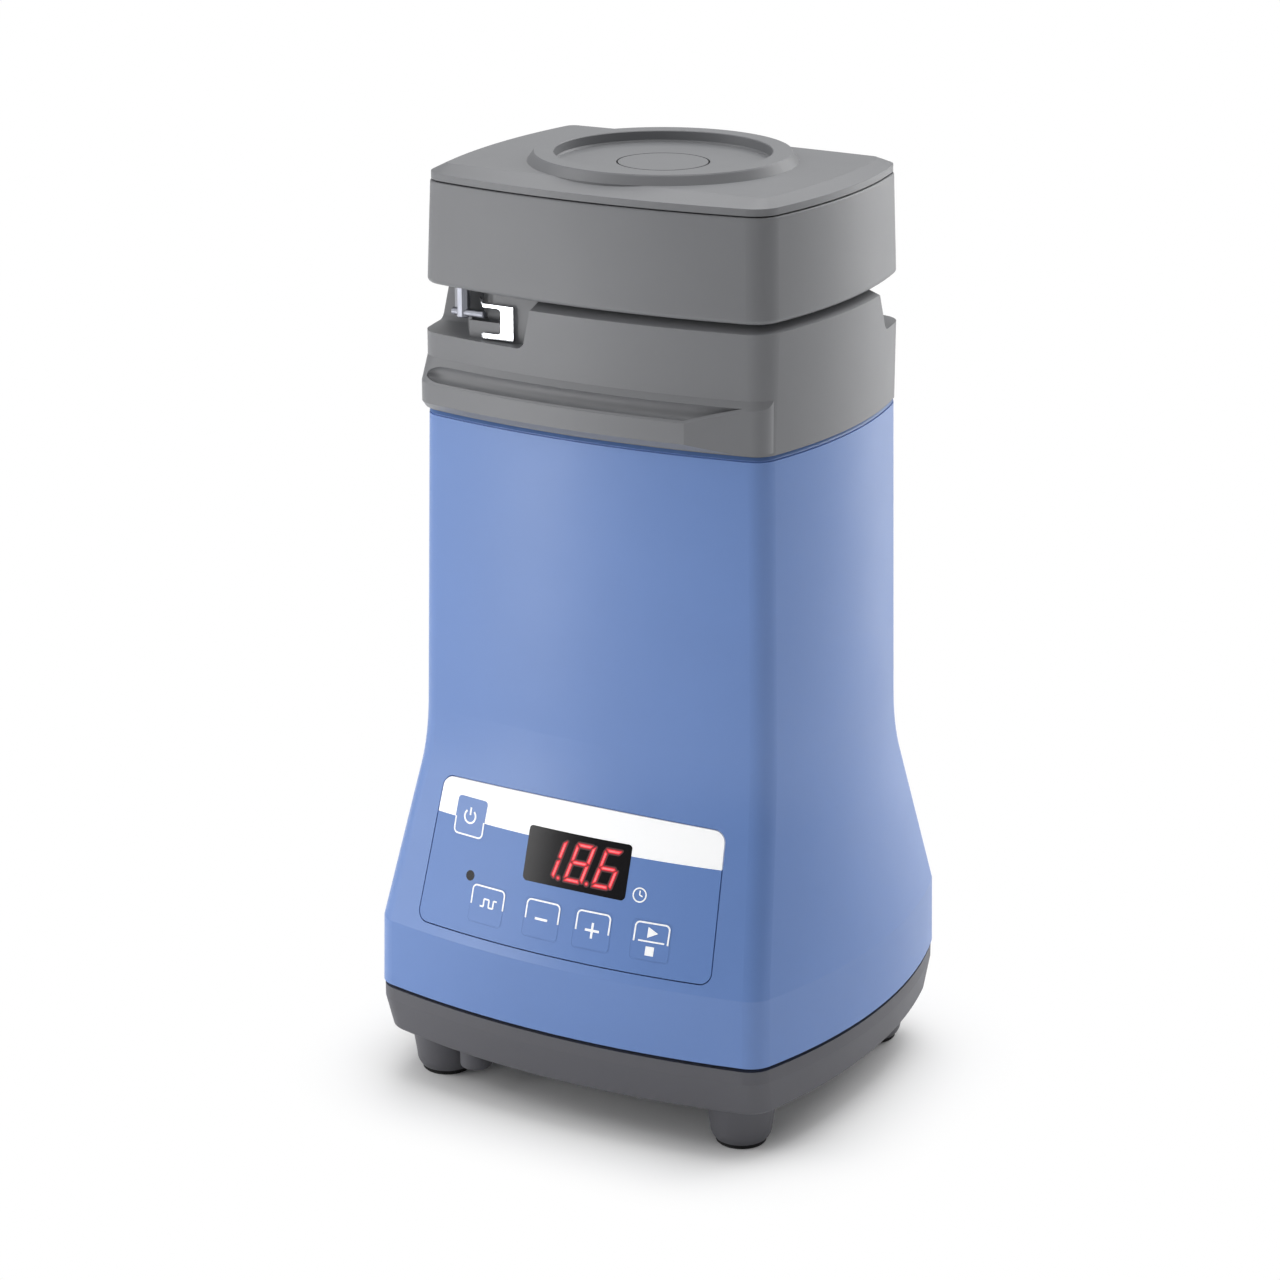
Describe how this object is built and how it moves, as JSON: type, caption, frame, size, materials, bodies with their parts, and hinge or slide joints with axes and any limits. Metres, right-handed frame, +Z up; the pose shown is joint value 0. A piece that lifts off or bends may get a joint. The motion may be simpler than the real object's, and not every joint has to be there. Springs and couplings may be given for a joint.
{
  "type": "analytical lab mill",
  "caption": "Bench analytical lab mill with a tapering body, sloping key panel, grip lip and a turn-and-lift lid locked by corner bars.",
  "frame": {"origin": "middle of the footprint, on the bench", "axes": "+Z up, control panel towards -Y, +X to the right of a person facing the panel"},
  "size_m": [0.13, 0.114, 0.2447],
  "materials": {
    "body_blue": "fine matte moulded, medium blue",
    "head_grey": "fine grained, mid grey",
    "base_grey": "fine grained, dark grey",
    "rubber_black": "matte",
    "panel_sheet": "printed sheet, blue with a white band",
    "lens_dark": "smooth dark lens",
    "chrome_bright": "polished",
    "steel_bright": "turned or brushed",
    "steel_plated": "zinc plated",
    "aluminium_plain": "milled",
    "seal_rubber": "soft, dark red",
    "board_green": "coated board",
    "display_red": "red digits on black",
    "copper": "copper",
    "brass": "machined",
    "magnet_dark": "sintered",
    "core_steel": "stacked sheet",
    "fan_black": "moulded",
    "carbon": "pressed carbon"
  },
  "bodies": {
    "mill": {"body_shell": "body_blue", "top_housing": "head_grey", "base_tray": "base_grey", "foot_pad_front_left": "rubber_black", "foot_pad_front_right": "rubber_black", "foot_pad_rear_left": "rubber_black", "foot_pad_rear_right": "rubber_black", "panel_overlay": "panel_sheet", "display_window": "lens_dark", "status_sensor": "lens_dark", "catch_plate_front": "chrome_bright", "catch_plate_rear": "chrome_bright", "grinding_cup": "steel_bright", "base_screws": "steel_plated", "board_screws": "steel_plated", "motor_screws": "steel_plated", "plate_screws": "steel_plated", "motor_can": "steel_plated", "bearing_lower": "steel_plated", "bearing_upper": "steel_plated", "motor_plate": "aluminium_plain", "shaft_seal": "seal_rubber", "control_board": "board_green", "display_module": "display_red", "brush_holder_left": "brass", "brush_holder_right": "brass", "power_socket_pin": "brass", "magnet_front": "magnet_dark", "magnet_rear": "magnet_dark", "power_socket": "fan_black", "power_socket_nut": "fan_black", "brush_left": "carbon", "brush_right": "carbon"},
    "rotor": {"motor_shaft": "steel_bright", "armature": "core_steel", "armature_winding": "copper", "commutator": "copper", "cooling_fan": "fan_black", "beater_hub": "aluminium_plain", "beater_blade": "steel_bright", "beater_nut": "steel_plated"},
    "closure": {"pressure_disc": "steel_bright", "lid_seal": "seal_rubber"},
    "lid": {"lid_body": "head_grey", "lid_cap": "head_grey", "lid_centre_plug": "head_grey", "cap_screws": "steel_plated", "bar_screws": "steel_plated", "disc_pin": "steel_plated", "lock_bar_front": "chrome_bright", "lock_bar_rear": "chrome_bright", "lock_pin_front": "steel_bright", "lock_pin_rear": "steel_bright"},
    "key_pulse": {"key_pulse": "panel_sheet"},
    "key_minus": {"key_minus": "panel_sheet"},
    "key_plus": {"key_plus": "panel_sheet"},
    "key_start_stop": {"key_start_stop": "panel_sheet"},
    "key_power": {"key_power": "panel_sheet"}
  },
  "joints": [
    {"name": "shaft_spin", "type": "hinge", "parent": "mill", "child": "rotor", "pos_m": [0, 0, 0.1], "axis": [0, 0, 1], "continuous": true},
    {"name": "lid_lift", "type": "slide", "parent": "mill", "child": "closure", "axis": [0, 0, 1], "range_m": [0, 0.045]},
    {"name": "lid_turn", "type": "hinge", "parent": "closure", "child": "lid", "pos_m": [0, 0, 0.22], "axis": [0, 0, 1], "range_deg": [-45.5, 0]},
    {"name": "key_pulse_press", "type": "slide", "parent": "mill", "child": "key_pulse", "axis": [0.0851, 0.9503, -0.2996], "range_m": [0, 0.0005], "stiffness_N_per_m": 400, "springref_m": -0.0003},
    {"name": "key_minus_press", "type": "slide", "parent": "mill", "child": "key_minus", "axis": [0.0188, 0.9539, -0.2996], "range_m": [0, 0.0005], "stiffness_N_per_m": 400, "springref_m": -0.0003},
    {"name": "key_plus_press", "type": "slide", "parent": "mill", "child": "key_plus", "axis": [-0.0391, 0.9533, -0.2996], "range_m": [0, 0.0005], "stiffness_N_per_m": 400, "springref_m": -0.0003},
    {"name": "key_start_stop_press", "type": "slide", "parent": "mill", "child": "key_start_stop", "axis": [-0.1026, 0.9485, -0.2996], "range_m": [0, 0.0005], "stiffness_N_per_m": 400, "springref_m": -0.0003},
    {"name": "key_power_press", "type": "slide", "parent": "mill", "child": "key_power", "axis": [0.1215, 0.9463, -0.2996], "range_m": [0, 0.0005], "stiffness_N_per_m": 400, "springref_m": -0.0003}
  ],
  "couplings": [
    {"joint": "lid_turn", "follows": "lid_lift", "rad_per_m": -17.453}
  ]
}
